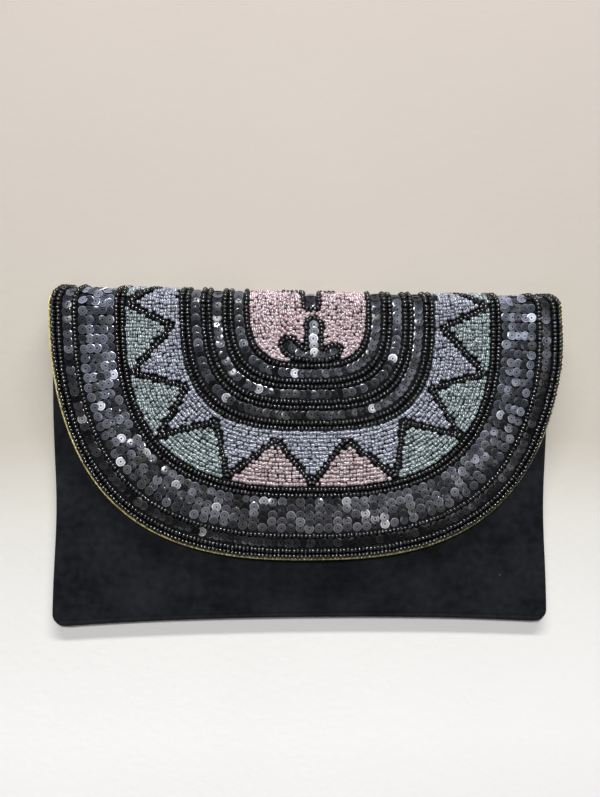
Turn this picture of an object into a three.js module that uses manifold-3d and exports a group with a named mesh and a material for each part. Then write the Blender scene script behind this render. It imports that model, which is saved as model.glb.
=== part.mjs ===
// A beaded envelope clutch, lying on its back: a flat cloth pouch, and a rounded flap that folds over
// its front and carries rings of beads and sequins round a zigzag of coloured cells. Millimetres, +Z up
// out of the front face, +Y to the fold. Beads and sequins are thin raised solids that follow the flap.
import * as THREE from "three";
import { mergeVertices } from "three/addons/utils/BufferGeometryUtils.js";
import Module from "manifold-3d";

const wasm = await Module();
wasm.setup();

// Pouch
const bodyWidth = 277.4; // side seam to side seam
const bodyDrop = 172.7; // fold line to the middle of the bottom seam
const bodyShift = -3.7; // the pouch sits a little left of the flap's middle
const bodyThickness = 10.5; // front face over the table, where the pouch is full
const bottomRise = 90; // from the bottom seam to where the pouch is full
const clothWall = 1.4;
const seamGap = 0.3; // between pieces that touch
const edgeLift = 0.6; // the seams lie this much over the table
const edgeRoll = 9; // width of the lifted border
const cornerPull = 3.6; // bottom corners below the middle of the bottom seam
const cornerRadius = 8;
const waistDepth = 2.2; // sides drawn in between the corners
const waistHeight = 62; // waist above the bottom seam
const waistSpan = 38;
const mouthDepth = 3; // top edge of the front panel below the fold line

// Flap
const flapWidth = 282.8; // at its widest as laid out flat, edging included
const flapDrop = 138.3; // fold line to the flap's lowest point, edging included
const flapWall = 1.6;
const foldRadius = 6.5; // outside of the cloth
const foldRun = 80; // from the fold to where the flap lies on the front
const flapRest = 0.6; // flap over the front panel
const backRun = 6; // flap's cloth behind the fold line, up to the back panel
const foldNarrowing = 10.8; // each side of the flap draws in by this on its way over the fold
const edgingWidth = 1;
const edgingProud = 0.35; // edging above and below the flap's cloth

// Where handwork left the flap a little out of true
const lean = 2.5; // rings at the fold lie this much to the left, all but the flap's left border
const leanRun = 85; // below the fold line, where the inner rings are centred again
const leanRunRight = 30; // and where the right border is in its place again
const foldBulge = 1.8; // the fold's cloth stands out this much more at the left end

// Magnetic snap
const snapRadius = 7;
const snapThickness = 2;
const snapSetback = 23; // snap's centre above the flap's lowest point
const snapSpread = 45; // reach of the flap's rise over the snap

// Beadwork
const beadHeight = 2.9;
const sequinHeight = 1.5;
const bandHeight = 2.3; // overlapping sequins of the wide band stand up more
const beadRow = 3.15; // width of one row of beads
const stripWidth = 5.3; // a strip of single sequins
const bandWidth = 19.3; // the wide band of sequins
const zigzagWidth = 30.5; // the field of coloured cells
const beadingWrap = 40; // degrees that the beadwork reaches past the crest of the fold
const scrollClearance = 0.4; // the ornament's drawn length stays short of the medallion by this

// Fineness of the faceted surfaces
const ringSteps = 28;
const foldSteps = 5;
const beadFacet = 22;
const foldFacet = 3.6;
const panelColumns = 16;
const panelRows = 9;
const flapColumns = 20;
const flapLines = 8;
const cutSlack = 1; // cutting solids reach this much past what they cut, above and below

// Outer angle in degrees below the fold line, and share of the zigzag field's width, of each corner of the
// zigzag's left half. The corners lie by turns on the outer and on the inner side.
const zigzagCorners = [
  { angle: 0, share: 0.96 },
  { angle: 9, share: 0.13 },
  { angle: 21, share: 0.98 },
  { angle: 34.3, share: 0.1 },
  { angle: 41.3, share: 0.98 },
  { angle: 51.4, share: 0.12 },
  { angle: 64.2, share: 0.97 },
  { angle: 75.8, share: 0.16 },
];
const zigzagMiddle = { angle: 90, share: 0.98 };
const zigzagFoldShare = 0.2; // where the zigzag leaves over the fold

// The medallion's crescent, as shares of the ornament's drawn length right of the middle and below the
// fold line.
const crescent = [
  { right: -0.5, below: 0.55 },
  { right: -0.3, below: 0.49 },
  { right: -0.12, below: 0.6 },
  { right: 0.0, below: 0.68 },
  { right: 0.22, below: 0.68 },
  { right: 0.36, below: 0.61 },
  { right: 0.55, below: 0.62 },
  { right: 0.62, below: 0.76 },
  { right: 0.5, below: 0.89 },
  { right: 0.2, below: 0.955 },
  { right: -0.2, below: 0.92 },
  { right: -0.44, below: 0.78 },
];
const stem = { left: -0.08, right: 0.26, top: 0.12, foot: 0.8 };
const crestLoop = { left: -0.14, right: 0.29, foot: 0.06 };
const crestBars = { left: -0.45, right: 0.5, low: -0.3, high: -0.2 };

// Sizes that follow
const foldQuarter = (foldRadius * Math.PI) / 2; // along the cloth, from the crest to the fold line
const seamHeight = edgeLift + 2 * clothWall + seamGap;
const rim = flapWidth / 2;
const clothRim = rim - edgingWidth - 2 * seamGap;
const snapY = -(flapDrop - snapSetback);
const dropShare = flapDrop / rim; // the rings are a little wider than they are deep
const snapStandoff = snapThickness + 3 * seamGap - flapRest;
const beadingEnd = THREE.MathUtils.degToRad(beadingWrap) * foldRadius;

// Half width of the pouch at a height over the fold line.
function sideHalf(y) {
  const fromWaist = (y + bodyDrop - waistHeight) / waistSpan;
  return bodyWidth / 2 - waistDepth * Math.exp(-(fromWaist ** 2));
}

function bottomEdge(across) {
  return -bodyDrop - cornerPull * Math.abs(across) ** 2.2;
}

// How far a point of the pouch is from its seams: across is 1 at the side, above is the height over the
// bottom seam.
function inPouch(x, y) {
  const across = Math.min(1, Math.abs(x - bodyShift) / sideHalf(y));
  return { across, above: Math.max(0, y - bottomEdge(across)) };
}

// Outer face of the front panel, thin at the seams and full in the middle.
function frontHeight(x, y) {
  const { across, above } = inPouch(x, y);
  const up = Math.min(1, above / bottomRise);
  const full = (1 - across ** 4) ** 2 * (1 - (1 - up) ** 2);
  return THREE.MathUtils.lerp(seamHeight, bodyThickness, full);
}

// Outer face of the back panel, flat on the table inside its lifted border.
function backHeight(x, y) {
  const { across, above } = inPouch(x, y);
  const fromEdge = Math.min((1 - across) * sideHalf(y), above);
  return edgeLift * Math.max(0, 1 - fromEdge / edgeRoll) ** 2;
}

// Outer face of the flap's cloth on the front: level at the fold, then lying on the front panel and over
// the snap.
function flapHeight(x, y) {
  const fromSnap = (x ** 2 + (y - snapY) ** 2) / snapSpread ** 2;
  const lying = frontHeight(x, y) + flapRest + snapStandoff * Math.exp(-fromSnap) + flapWall;
  return THREE.MathUtils.lerp(2 * foldRadius, lying, THREE.MathUtils.smoothstep(-y, 0, foldRun));
}

// Sideways place of a flat point, with the rings' lean.
function leaned(flatX, flatY) {
  const below = -flatY - foldQuarter;
  const towardsRight = THREE.MathUtils.smoothstep(flatX, 0.45 * rim, rim);
  const run = THREE.MathUtils.lerp(leanRun, leanRunRight, towardsRight);
  const fade = THREE.MathUtils.clamp(1 - below / run, 0, 1);
  return flatX - lean * fade * THREE.MathUtils.smoothstep(flatX, -0.8 * rim, -0.42 * rim);
}

// Bends a flat point onto the flap: flat x across, flat y along the cloth, 0 at the fold's crest and less
// down the front, h above its outer face.
function onFlap(flatX, flatY, h) {
  const x = leaned(flatX, flatY);
  const s = -flatY;
  if (s <= -foldQuarter) return new THREE.Vector3(x, s + foldQuarter, -h);
  if (s < foldQuarter) {
    const angle = s / foldRadius;
    const reach = foldRadius + h;
    const bulge = 1 + (foldBulge / foldRadius) * THREE.MathUtils.smoothstep(-x, -0.3 * rim, rim);
    return new THREE.Vector3(x, bulge * reach * Math.cos(angle), foldRadius + reach * Math.sin(angle));
  }
  const y = foldQuarter - s;
  const step = 0.5;
  const slopeX = (flapHeight(x + step, y) - flapHeight(x - step, y)) / (2 * step);
  const slopeY = (flapHeight(x, y) - flapHeight(x, y - step)) / step;
  const normal = new THREE.Vector3(-slopeX, -slopeY, 1).normalize();
  return new THREE.Vector3(x, y, flapHeight(x, y)).addScaledVector(normal, h);
}

// Rings are superellipses, squarer towards the middle of the flap.
const ringPower = (radius) => 3.2 - 0.55 * (radius / rim) ** 1.5;

// Flat point of the ring with this half width.
function ringPoint(radius, degrees) {
  const angle = THREE.MathUtils.degToRad(degrees);
  const power = ringPower(radius);
  const [cosine, sine] = [Math.cos(angle), Math.sin(angle)];
  const reach = radius * (Math.abs(cosine) ** power + Math.abs(sine) ** power) ** (-1 / power);
  return new THREE.Vector2(reach * cosine, -foldQuarter - reach * sine * dropShare);
}

// Flat point where a ring crosses the fold, drawn in on its way to the back.
function foldPoint(radius, flatY) {
  const past = Math.min(2, (foldQuarter + flatY) / foldQuarter);
  const narrowing = foldNarrowing * (radius / rim) ** 2 * (1 - Math.cos((past * Math.PI) / 2)) * 0.5;
  return new THREE.Vector2(radius - narrowing, flatY);
}

const mirrored = (p) => new THREE.Vector2(-p.x, p.y);

// A ring from its left end behind the fold, round the bottom, to its right end.
function ringLine(radius, end) {
  const right = [];
  for (let i = 0; i < foldSteps; i++)
    right.push(foldPoint(radius, THREE.MathUtils.lerp(end, -foldQuarter, i / foldSteps)));
  for (let i = 0; i < ringSteps / 2; i++) right.push(ringPoint(radius, (180 * i) / ringSteps));
  return [...right.map(mirrored), ringPoint(radius, 90), ...right.reverse()];
}

// Closed solid of a flat outline, from one height above the cloth to another.
function flatSolid(outline, low, high) {
  const shape = new THREE.Shape(outline);
  const solid = new THREE.ExtrudeGeometry(shape, { depth: high - low, bevelEnabled: false });
  return solid.translate(0, 0, low);
}

// Closed solid between flat lines of as many points each, in order from the fold down, each from left to
// right.
function gridSolid(lines, low, high) {
  const columns = lines[0].length;
  const points = [low, high].flatMap((h) => lines.flat().map((p) => new THREE.Vector3(p.x, p.y, h)));
  const layer = lines.length * columns;
  const index = [];
  for (let row = 0; row + 1 < lines.length; row++)
    for (let column = 0; column + 1 < columns; column++) {
      const p = row * columns + column;
      const below = p + columns;
      const top = layer + p;
      const topBelow = layer + below;
      index.push(top, topBelow, topBelow + 1, top, topBelow + 1, top + 1);
      index.push(p, below + 1, below, p, p + 1, below + 1);
    }
  const last = lines.length - 1;
  const border = [
    ...lines.slice(0, last).map((_, row) => row * columns),
    ...lines[0].slice(1).map((_, column) => last * columns + column),
    ...lines.slice(1).map((_, row) => (last - row + 1) * columns - 1),
    ...lines[0].slice(1).map((_, column) => columns - 1 - column),
  ];
  border.forEach((p, i) => {
    const next = border[(i + 1) % border.length];
    index.push(p, next, layer + next, p, layer + next, layer + p);
  });
  return new THREE.BufferGeometry().setFromPoints(points).setIndex(index);
}

const ringSolid = (inner, outer, end, low, high) =>
  gridSolid([ringLine(inner, end), ringLine(outer, end)], low, high);

// A line of even width along a run of flat points, with its corners cut short.
function ribbonOutline(points, halfWidth) {
  const longestCorner = 1.25;
  const side = (sign) =>
    points.map((p, i) => {
      const before = p.clone().sub(points[Math.max(0, i - 1)]).normalize();
      const after = points[Math.min(points.length - 1, i + 1)].clone().sub(p).normalize();
      const along = before.add(after).normalize();
      const leg = (i ? p.clone().sub(points[i - 1]) : points[1].clone().sub(p)).normalize();
      const stretch = Math.min(longestCorner, 1 / Math.abs(along.dot(leg)));
      return new THREE.Vector2(-along.y, along.x).multiplyScalar(sign * halfWidth * stretch).add(p);
    });
  return [...side(1), ...side(-1).reverse()];
}

function toSolid(geometry) {
  const plain = geometry.clone();
  plain.deleteAttribute("normal");
  plain.deleteAttribute("uv");
  const merged = mergeVertices(plain, 1e-4);
  return new wasm.Manifold(
    new wasm.Mesh({
      numProp: 3,
      vertProperties: merged.getAttribute("position").array,
      triVerts: new Uint32Array(merged.index.array),
    }),
  );
}

function toGeometry(solid) {
  const mesh = solid.getMesh();
  return new THREE.BufferGeometry()
    .setAttribute("position", new THREE.BufferAttribute(mesh.vertProperties, 3))
    .setIndex(new THREE.BufferAttribute(mesh.triVerts, 1));
}

// Halves every edge that is too long for the curve that it will follow. Both sides of an edge halve it
// alike, so the surface stays closed.
function refined(geometry) {
  const flat = geometry.index ? geometry.toNonIndexed() : geometry;
  const at = flat.getAttribute("position");
  const corner = (i) => new THREE.Vector3().fromBufferAttribute(at, i);
  const excess = (p, q) => {
    const foldStart = -foldQuarter - foldFacet;
    const inFold = Math.abs(Math.max(p.y, foldStart) - Math.max(q.y, foldStart));
    return Math.max(p.distanceTo(q) / beadFacet, inFold / foldFacet);
  };
  const open = [];
  const done = [];
  for (let i = 0; i < at.count; i += 3) open.push([corner(i), corner(i + 1), corner(i + 2)]);
  while (open.length) {
    const triangle = open.pop();
    const need = triangle.map((p, i) => excess(p, triangle[(i + 1) % 3]));
    const most = need.indexOf(Math.max(...need));
    if (need[most] <= 1) {
      done.push(...triangle);
      continue;
    }
    const [p, q, r] = [0, 1, 2].map((i) => triangle[(most + i) % 3]);
    const middle = p.clone().add(q).multiplyScalar(0.5);
    open.push([p, middle, r], [middle, q, r]);
  }
  return new THREE.BufferGeometry().setFromPoints(done);
}

// Names a flat piece and moves each of its points to its place on the clutch.
function shapedMesh(name, flat, place, material) {
  const geometry = flat.index ? flat.toNonIndexed() : flat;
  const at = geometry.getAttribute("position");
  for (let i = 0; i < at.count; i++) {
    const p = place(at.getX(i), at.getY(i), at.getZ(i));
    at.setXYZ(i, p.x, p.y, p.z);
  }
  geometry.computeVertexNormals();
  const mesh = new THREE.Mesh(geometry, material);
  mesh.name = name;
  return mesh;
}

function fieldMesh(name, solid, material) {
  return shapedMesh(name, refined(toGeometry(solid)), onFlap, material);
}

function finish(color, roughness, metalness) {
  return new THREE.MeshStandardMaterial({ color, roughness, metalness });
}

const blackCloth = () => finish(0x202227, 0.9, 0);
const blackBead = () => finish(0x0b0c0f, 0.15, 0);
const greySequin = () => finish(0x494c56, 0.25, 0.3);
const mintBead = () => finish(0x93a39d, 0.3, 0.2);
const lavenderBead = () => finish(0xa3a5b8, 0.3, 0.2);
const pinkBead = () => finish(0xbfa5a7, 0.3, 0.2);
const goldThread = () => finish(0xb9a55a, 0.4, 0.9);
const snapMetal = () => finish(0x8a8c90, 0.35, 0.9);

// Shares across a panel from -1 to 1, closer together towards the sides.
const acrossShares = (columns) =>
  Array.from({ length: columns + 1 }, (_, i) => Math.sin((i / columns - 0.5) * Math.PI));

// Grid of a pouch panel: waisted sides, round bottom corners pulled down, straight top.
function panelLines(top) {
  const cornerShares = [0, 0.13, 0.5];
  const line = (share, inset) =>
    acrossShares(panelColumns).map((across) => {
      const low = bottomEdge(across);
      const rounded = low + cornerRadius;
      const y = share < 1 ? low + share * cornerRadius : THREE.MathUtils.lerp(rounded, top, share - 1);
      return new THREE.Vector2(bodyShift + (sideHalf(y) - inset) * across, y);
    });
  const cornerInset = (share) => cornerRadius * (1 - Math.sqrt(1 - (1 - share) ** 2));
  const corner = cornerShares.map((share) => line(share, cornerInset(share)));
  const rows = [];
  for (let i = 0; i <= panelRows; i++) rows.push(line(1 + i / panelRows, 0));
  return [...corner, ...rows].reverse();
}

function frontPanel() {
  const flat = gridSolid(panelLines(-mouthDepth), -clothWall, 0);
  const place = (x, y, h) => new THREE.Vector3(x, y, frontHeight(x, y) + h);
  return shapedMesh("front_panel", flat, place, blackCloth());
}

function backPanel() {
  const flat = gridSolid(panelLines(-backRun - seamGap), 0, clothWall);
  const place = (x, y, h) => new THREE.Vector3(x, y, backHeight(x, y) + h);
  return shapedMesh("back_panel", flat, place, blackCloth());
}

// Grid of the flap's cloth: level lines over the fold, which bend by and by into the curve of the lower
// edge.
function flapLinesOf(radius, end) {
  const across = acrossShares(flapColumns);
  const power = ringPower(radius);
  const edge = (x) => dropShare * radius * (1 - Math.abs(x / radius) ** power) ** (1 / power);
  const lines = [];
  for (let i = 0; i < foldSteps + 1; i++) {
    const y = THREE.MathUtils.lerp(end, -foldQuarter, i / (foldSteps + 1));
    lines.push(across.map((u) => new THREE.Vector2(u * foldPoint(radius, y).x, y)));
  }
  for (let i = 0; i <= flapLines; i++) {
    const side = ringPoint(radius, (180 * i) / ringSteps);
    const bend = (i / flapLines) ** 2;
    lines.push(
      across.map((u) => {
        const y = THREE.MathUtils.lerp(side.y, -foldQuarter - edge(u * side.x), bend);
        return new THREE.Vector2(u * side.x, y);
      }),
    );
  }
  return lines;
}

function flapCloth() {
  const flat = gridSolid(flapLinesOf(clothRim, foldQuarter + backRun), -flapWall, 0);
  return shapedMesh("flap", flat, onFlap, blackCloth());
}

function goldEdging() {
  const flat = ringSolid(rim - edgingWidth, rim, beadingEnd, -flapWall - edgingProud, edgingProud);
  return shapedMesh("gold_edging", flat, onFlap, goldThread());
}

// A plain disc, tilted as the front panel is where it lies.
function magneticSnap() {
  const disc = new THREE.CylinderGeometry(snapRadius, snapRadius, snapThickness, 24).rotateX(Math.PI / 2);
  const mesh = new THREE.Mesh(disc, snapMetal());
  const rise = frontHeight(0, snapY + snapRadius) - frontHeight(0, snapY - snapRadius);
  const height = frontHeight(0, snapY) + 1.5 * seamGap + snapThickness / 2;
  mesh.name = "magnetic_snap";
  mesh.position.set(0, snapY, height);
  mesh.rotation.x = Math.atan(rise / (2 * snapRadius));
  return mesh;
}

// The rings from the flap's edge inwards: each has a name, a width, a height and a material. The zigzag
// field takes its own place among them.
function beadRows(name, count) {
  return { name, width: count * beadRow, height: beadHeight, material: blackBead };
}
const sequins = (name, width, height) => ({ name, width, height, material: greySequin });
const rings = [
  beadRows("bead_rows_rim", 2),
  sequins("sequin_strip_rim", stripWidth, sequinHeight),
  beadRows("bead_row_single", 1),
  sequins("sequin_band", bandWidth, bandHeight),
  beadRows("bead_rows_outer", 2),
  { name: "zigzag", width: zigzagWidth },
  beadRows("bead_rows_inner", 2),
  sequins("sequin_strip_outer", stripWidth, sequinHeight),
  beadRows("bead_rows_third", 2),
  sequins("sequin_strip_middle", stripWidth, sequinHeight),
  beadRows("bead_rows_second", 2),
  sequins("sequin_strip_inner", stripWidth, sequinHeight),
  beadRows("bead_row_medallion", 1),
];

// One mesh for each ring, and the zigzag field where its turn comes.
function beadRings() {
  const meshes = [];
  let outer = rim - edgingWidth;
  for (const ring of rings) {
    const inner = outer - ring.width;
    if (ring.name === "zigzag") meshes.push(...zigzagField(inner + seamGap, outer));
    else {
      const flat = ringSolid(inner + seamGap, outer, beadingEnd, seamGap, seamGap + ring.height);
      meshes.push(shapedMesh(ring.name, flat, onFlap, ring.material()));
    }
    outer = inner;
  }
  return { meshes, inside: outer };
}

// The black zigzag and the cells that it parts: one lavender piece inside, mint and pink cells outside.
function zigzagField(inner, outer) {
  const low = seamGap;
  const high = seamGap + beadHeight;
  const corner = ({ angle, share }) => ringPoint(THREE.MathUtils.lerp(inner, outer, share), angle);
  const start = foldPoint(THREE.MathUtils.lerp(inner, outer, zigzagFoldShare), beadingEnd + beadRow);
  const right = [start, ...zigzagCorners.map(corner)];
  const points = [...right.map(mirrored), corner(zigzagMiddle), ...right.slice().reverse()];
  const field = toSolid(ringSolid(inner, outer, beadingEnd, low, high));
  const line = toSolid(flatSolid(ribbonOutline(points, beadRow / 2), low, high));
  const cutLine = ribbonOutline(points, beadRow / 2 + 2 * seamGap);
  const cut = toSolid(flatSolid(cutLine, low - cutSlack, high + cutSlack));
  const cells = field.subtract(cut).decompose();
  const angleOf = (cell) => {
    const { min, max } = cell.boundingBox();
    return Math.atan2(-(min[0] + max[0]), -(min[1] + max[1]) - 2 * foldQuarter);
  };
  cells.sort((a, b) => b.volume() - a.volume());
  const [inside, ...outside] = cells;
  outside.sort((a, b) => angleOf(b) - angleOf(a));
  const middle = (outside.length - 1) / 2;
  return [
    fieldMesh("zigzag_line", line.intersect(field), blackBead()),
    fieldMesh("lavender_field", inside, lavenderBead()),
    ...outside.map((cell, i) => {
      const pink = Math.abs(i - middle) < 1;
      const name = (pink ? "pink_cell_" : "mint_cell_") + (i + 1);
      return fieldMesh(name, cell, pink ? pinkBead() : mintBead());
    }),
  ];
}

// Flat solid of the ornament on the medallion, drawn to a length and made wider by a margin: a stem that
// stands in a crescent.
function scrollSolid(length, low, high, margin) {
  const grow = (v, middle) => v * length + Math.sign(v - middle) * margin;
  const curve = new THREE.CatmullRomCurve3(
    crescent.map((p) => new THREE.Vector3(grow(p.right, 0.06), -foldQuarter - grow(p.below, 0.76), 0)),
    true,
  );
  const outline = curve.getPoints(2 * crescent.length).slice(1);
  const bowl = toSolid(flatSolid(outline.map((p) => new THREE.Vector2(p.x, p.y)), low, high));
  const [left, right] = [stem.left * length - margin, stem.right * length + margin];
  const round = (right - left) / 2;
  const shoulder = -foldQuarter - stem.top * length + margin - round;
  const foot = -foldQuarter - stem.foot * length;
  const post = new THREE.Shape()
    .moveTo(left, foot)
    .lineTo(right, foot)
    .lineTo(right, shoulder)
    .absarc(left + round, shoulder, round, 0, Math.PI);
  const extrusion = { depth: high - low, bevelEnabled: false, curveSegments: 8 };
  const solid = new THREE.ExtrudeGeometry(post, extrusion);
  return bowl.add(toSolid(solid.translate(0, 0, low)));
}

// The ornament's other end at the crest of the fold: a loop with a bar across it.
function crestSolid(length, low, high, margin) {
  const place = (share) => share * length;
  const box = (left, right, top, foot) =>
    toSolid(
      flatSolid(
        [
          new THREE.Vector2(place(left) - margin, -foldQuarter - place(foot) - margin),
          new THREE.Vector2(place(right) + margin, -foldQuarter - place(foot) - margin),
          new THREE.Vector2(place(right) + margin, -foldQuarter - place(top) + margin),
          new THREE.Vector2(place(left) - margin, -foldQuarter - place(top) + margin),
        ],
        low,
        high,
      ),
    );
  const loop = box(crestLoop.left, crestLoop.right, crestBars.high, crestLoop.foot);
  return loop.add(box(crestBars.left, crestBars.right, crestBars.low, crestBars.high));
}

function medallionPieces(inside) {
  const length = inside - scrollClearance;
  const low = seamGap;
  const high = seamGap + beadHeight;
  const field = toSolid(flatSolid(ringLine(inside, beadingEnd), low, high));
  const cutRange = [low - cutSlack, high + cutSlack];
  const cut = scrollSolid(length, ...cutRange, seamGap).add(crestSolid(length, ...cutRange, seamGap));
  const pieces = field.subtract(cut).decompose();
  pieces.sort((a, b) => b.volume() - a.volume());
  return [
    fieldMesh("medallion", pieces[0], pinkBead()),
    fieldMesh("scroll_ornament", scrollSolid(length, low, high, 0), blackBead()),
    fieldMesh("crest_ornament", crestSolid(length, low, high, 0), blackBead()),
  ];
}

// The clutch, with the middle of its footprint at the origin and its back on z = 0.
const { meshes: ringMeshes, inside: medallionEdge } = beadRings();
const clutch = new THREE.Group();
clutch.add(frontPanel(), backPanel(), flapCloth(), goldEdging(), magneticSnap());
clutch.add(...ringMeshes, ...medallionPieces(medallionEdge));
const extent = new THREE.Box3().setFromObject(clutch, true);
const middle = extent.getCenter(new THREE.Vector3());
clutch.position.set(-middle.x, -middle.y, -extent.min.z);

const group = new THREE.Group();
group.add(clutch);

export default group;
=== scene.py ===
# Looks of a beaded envelope clutch that lies on its back: the cloth of pouch and flap, the gold edging,
# and every bead and sequin of the flap. Sizes are millimetres here and metres in the meshes. The flap is
# worked out flat, x across and y along the cloth from the fold's crest, and then bent into place.
import math

import bpy
import numpy as np
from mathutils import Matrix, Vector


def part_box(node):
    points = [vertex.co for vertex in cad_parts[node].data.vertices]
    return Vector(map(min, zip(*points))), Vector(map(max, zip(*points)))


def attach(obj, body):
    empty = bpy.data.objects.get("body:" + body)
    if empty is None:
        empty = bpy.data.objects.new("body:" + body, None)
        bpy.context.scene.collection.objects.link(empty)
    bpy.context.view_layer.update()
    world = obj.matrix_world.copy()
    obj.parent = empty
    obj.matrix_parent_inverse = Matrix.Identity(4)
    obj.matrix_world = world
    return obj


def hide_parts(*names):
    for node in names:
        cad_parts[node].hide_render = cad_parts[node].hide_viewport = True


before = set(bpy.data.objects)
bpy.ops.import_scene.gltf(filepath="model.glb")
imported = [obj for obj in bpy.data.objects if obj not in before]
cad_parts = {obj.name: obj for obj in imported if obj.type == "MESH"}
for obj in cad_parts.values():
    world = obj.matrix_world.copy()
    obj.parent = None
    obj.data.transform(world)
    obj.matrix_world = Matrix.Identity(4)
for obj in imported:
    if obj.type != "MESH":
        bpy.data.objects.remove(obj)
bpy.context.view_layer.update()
rng = np.random.default_rng(20)

# Pouch
BODY_WIDTH = 277.4
BODY_DROP = 172.7
BODY_SHIFT = -3.7
BODY_THICKNESS = 10.5
BOTTOM_RISE = 90.0
CLOTH_WALL = 1.4
SEAM_GAP = 0.3
EDGE_LIFT = 0.6
EDGE_ROLL = 9.0
CORNER_PULL = 3.6
CORNER_RADIUS = 8.0
WAIST_DEPTH = 2.2
WAIST_HEIGHT = 62.0
WAIST_SPAN = 38.0
MOUTH_DEPTH = 3.0
EDGE_ROUNDING = 0.9
STITCH_INSET = 2.4
STITCH_WIDTH = 0.5
STITCH_DEPTH = 0.2
PUCKER_INSET = 3.5
PUCKER_WIDTH = 2.5
PUCKER_DEPTH = 0.1
SEAM_CLOSING = 0.28
SLACK_DEPTH = 0.16
SLACK_RUN = 14.0

# Flap
FLAP_WIDTH = 282.8
FLAP_DROP = 138.3
FLAP_WALL = 1.6
FOLD_RADIUS = 6.5
FOLD_RUN = 80.0
FLAP_REST = 0.6
BACK_RUN = 6.0
FOLD_NARROWING = 10.8
EDGING_WIDTH = 1.0
EDGING_SINK = 0.6
EDGING_SLIP = 1.0
LEAN = 2.5
LEAN_RUN = 85.0
LEAN_RUN_RIGHT = 30.0
FOLD_BULGE = 1.8
SNAP_THICKNESS = 2.0
SNAP_SETBACK = 23.0
SNAP_SPREAD = 45.0

# Beadwork
BEAD_ROW = 3.15
STRIP_WIDTH = 5.3
BAND_WIDTH = 19.3
ZIGZAG_WIDTH = 30.5
BEADING_WRAP = math.radians(40)
BEAD_LENGTH = 2.1
LINED_LENGTH = 1.84
LINED_ROW = 2.2
BEAD_CENTRE = 1.55
LINED_CENTRE = 1.35
LINED_HALF = 1.1
LINED_SETBACK = 1.2
FOLD_SETBACK = 0.8
BLACK_CLEARANCE = 2.1
HOLE_CLEARANCE = 1.6
SEQUIN_WIDTH = 5.0
SEQUIN_REACH = 2.4
STRIP_CENTRE = 0.95
BAND_CENTRE = 1.15
ORNAMENT_CENTRE = 0.9
BAND_PITCH = 5.05
BAND_PER_LINE = 5

# Sizes that follow
FOLD_QUARTER = FOLD_RADIUS * math.pi / 2
SEAM_HEIGHT = EDGE_LIFT + 2 * CLOTH_WALL + SEAM_GAP
RIM = FLAP_WIDTH / 2
CLOTH_RIM = RIM - EDGING_WIDTH - 2 * SEAM_GAP
SNAP_Y = -(FLAP_DROP - SNAP_SETBACK)
DROP_SHARE = FLAP_DROP / RIM
SNAP_STANDOFF = SNAP_THICKNESS + 3 * SEAM_GAP - FLAP_REST
BEADING_END = BEADING_WRAP * FOLD_RADIUS
FLAP_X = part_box("gold_edging")[0].x * 1000 + RIM
FOLD_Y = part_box("front_panel")[1].y * 1000 + MOUTH_DEPTH

# Outer angle in degrees below the fold line, and share of the zigzag field's width, of each corner of
# the zigzag's left half, from the fold to the middle.
ZIGZAG_CORNERS = [
    (0, 0.95),
    (9, 0.13),
    (21, 0.95),
    (34.3, 0.1),
    (41.3, 0.95),
    (51.4, 0.12),
    (64.2, 0.95),
    (75.8, 0.16),
    (90, 0.95),
]
ZIGZAG_FOLD_SHARE = 0.2
CORNER_INSET = 3.4


def side_half(y):
    from_waist = (y + BODY_DROP - WAIST_HEIGHT) / WAIST_SPAN
    return BODY_WIDTH / 2 - WAIST_DEPTH * np.exp(-(from_waist**2))


def bottom_edge(across):
    return -BODY_DROP - CORNER_PULL * np.abs(across) ** 2.2


def in_pouch(x, y):
    """How far a point is from the pouch's seams: 0 to 1 towards the side, and mm over the bottom."""
    across = np.minimum(1, np.abs(x - BODY_SHIFT) / side_half(y))
    return across, np.maximum(0, y - bottom_edge(across))


def front_height(x, y):
    across, above = in_pouch(x, y)
    up = np.minimum(1, above / BOTTOM_RISE)
    full = (1 - across**4) ** 2 * (1 - (1 - up) ** 2)
    return SEAM_HEIGHT + (BODY_THICKNESS - SEAM_HEIGHT) * full


def back_height(x, y):
    across, above = in_pouch(x, y)
    from_edge = np.minimum((1 - across) * side_half(y), above)
    return EDGE_LIFT * np.maximum(0, 1 - from_edge / EDGE_ROLL) ** 2


def smooth_step(t):
    t = np.clip(t, 0, 1)
    return t * t * (3 - 2 * t)


def flap_height(x, y):
    from_snap = (x**2 + (y - SNAP_Y) ** 2) / SNAP_SPREAD**2
    lying = front_height(x, y) + FLAP_REST + SNAP_STANDOFF * np.exp(-from_snap) + FLAP_WALL
    t = smooth_step(-y / FOLD_RUN)
    return 2 * FOLD_RADIUS * (1 - t) + lying * t


def leaned(flat):
    """Sideways places of flat points, with the rings' lean to the left next to the fold."""
    x, below = flat[..., 0], -flat[..., 1] - FOLD_QUARTER
    right = smooth_step((x / RIM - 0.45) / 0.55)
    run = LEAN_RUN + (LEAN_RUN_RIGHT - LEAN_RUN) * right
    return x - LEAN * np.clip(1 - below / run, 0, 1) * smooth_step((x / RIM + 0.8) / 0.38)


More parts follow.
